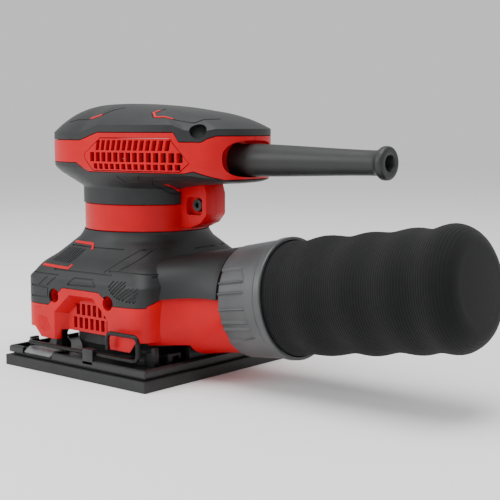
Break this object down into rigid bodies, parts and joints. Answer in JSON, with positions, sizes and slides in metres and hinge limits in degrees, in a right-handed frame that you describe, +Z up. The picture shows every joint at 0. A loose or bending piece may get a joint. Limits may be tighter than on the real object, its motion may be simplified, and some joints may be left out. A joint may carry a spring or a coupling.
{
  "type": "palm sander",
  "caption": "Electric palm finishing sander with a square pad, wire sheet clamps, an egg-shaped soft grip, a cord boot and a cylindrical cloth dust bag at the rear.",
  "frame": {"origin": "middle of the backing pad's underside, on the motor axis", "axes": "+Z up along the motor axis, +X towards the cord boot and dust bag at the rear, -Y the side that the housing screws enter"},
  "size_m": [0.2653, 0.114, 0.1415],
  "materials": {
    "red_abs": "satin moulded ABS",
    "black_tpe": "overmoulded soft grip",
    "black_nylon": "fine moulded texture",
    "grey_polypropylene": "satin",
    "pad_elastomer": "closed-cell elastomer",
    "black_rubber": "matt",
    "bag_cloth": "close knitted filter cloth",
    "bright_steel": "ground",
    "blackened_wire": "black oxide",
    "spring_strip": "rolled",
    "lamination_steel": "stacked sheet",
    "copper_winding": "enamelled",
    "brass": "bright",
    "carbon": "matt",
    "cast_aluminium": "die cast",
    "capacitor_case": "dipped"
  },
  "bodies": {
    "housing": {"housing_left": "red_abs", "housing_right": "red_abs", "palm_grip": "black_tpe", "neck_grip": "black_tpe", "shoulder_cover": "black_tpe", "vent_panel_left": "red_abs", "vent_panel_right": "red_abs", "skirt_screw_front": "bright_steel", "skirt_screw_rear": "bright_steel", "neck_screw": "bright_steel", "head_screw": "bright_steel", "bearing_plate": "cast_aluminium", "lower_bearing": "bright_steel", "upper_bearing": "bright_steel", "upper_bearing_cup": "black_rubber", "field_stack": "lamination_steel", "field_coil_left": "copper_winding", "field_coil_right": "copper_winding", "brush_holder_left": "brass", "brush_holder_right": "brass", "brush_left": "carbon", "brush_right": "carbon", "brush_spring_left": "bright_steel", "brush_spring_right": "bright_steel", "cord_boot": "black_rubber", "cord_clamp": "black_nylon", "clamp_screw_low": "bright_steel", "clamp_screw_high": "bright_steel", "switch_body": "black_nylon", "switch_seal": "black_rubber", "suppression_capacitor": "capacitor_case", "leg_front_left": "black_rubber", "leg_front_right": "black_rubber", "leg_rear_left": "black_rubber", "leg_rear_right": "black_rubber"},
    "armature": {"armature_shaft": "bright_steel", "armature_core": "lamination_steel", "commutator": "brass", "fan": "cast_aluminium", "eccentric_hub": "bright_steel", "platen_screw": "bright_steel"},
    "platen_unit": {"platen": "black_nylon", "backing_pad": "pad_elastomer", "platen_bearing": "bright_steel", "bearing_retainer": "bright_steel", "dust_seal": "black_rubber"},
    "lever_left": {"clamp_lever_left": "blackened_wire"},
    "lever_right": {"clamp_lever_right": "blackened_wire"},
    "jaw_left": {"clamp_jaw_left": "spring_strip"},
    "jaw_right": {"clamp_jaw_right": "spring_strip"},
    "rocker": {"switch_rocker": "black_nylon"},
    "bag": {"bag_collar": "grey_polypropylene", "bag_ring": "grey_polypropylene", "dust_bag": "bag_cloth"}
  },
  "joints": [
    {"name": "armature_spin", "type": "hinge", "parent": "housing", "child": "armature", "pos_m": [0, 0, 0.07], "axis": [0, 0, 1], "continuous": true},
    {"name": "platen_orbit", "type": "hinge", "parent": "armature", "child": "platen_unit", "pos_m": [0.0008, 0, 0.0153], "axis": [0, 0, 1], "continuous": true},
    {"name": "lever_left_swing", "type": "hinge", "parent": "platen_unit", "child": "lever_left", "pos_m": [0.0008, -0.0528, 0.0138], "axis": [1, 0, 0], "range_deg": [0, 60]},
    {"name": "lever_right_swing", "type": "hinge", "parent": "platen_unit", "child": "lever_right", "pos_m": [0.0008, 0.0528, 0.0138], "axis": [1, 0, 0], "range_deg": [-60, 0]},
    {"name": "jaw_left_lift", "type": "hinge", "parent": "platen_unit", "child": "jaw_left", "pos_m": [0.0008, -0.045, 0.0106], "axis": [1, 0, 0], "range_deg": [-6, 0]},
    {"name": "jaw_right_lift", "type": "hinge", "parent": "platen_unit", "child": "jaw_right", "pos_m": [0.0008, 0.045, 0.0106], "axis": [1, 0, 0], "range_deg": [0, 6]},
    {"name": "rocker_tilt", "type": "hinge", "parent": "housing", "child": "rocker", "pos_m": [-0.0456, 0, 0.1163], "axis": [0, 1, 0], "range_deg": [0, 12]},
    {"name": "bag_slide", "type": "slide", "parent": "housing", "child": "bag", "axis": [0.9893, 0, 0.1461], "range_m": [0, 0.06]}
  ],
  "couplings": [
    {"joint": "platen_orbit", "follows": "armature_spin", "ratio": -1},
    {"joint": "jaw_left_lift", "follows": "lever_left_swing", "ratio": -0.1},
    {"joint": "jaw_right_lift", "follows": "lever_right_swing", "ratio": -0.1}
  ]
}
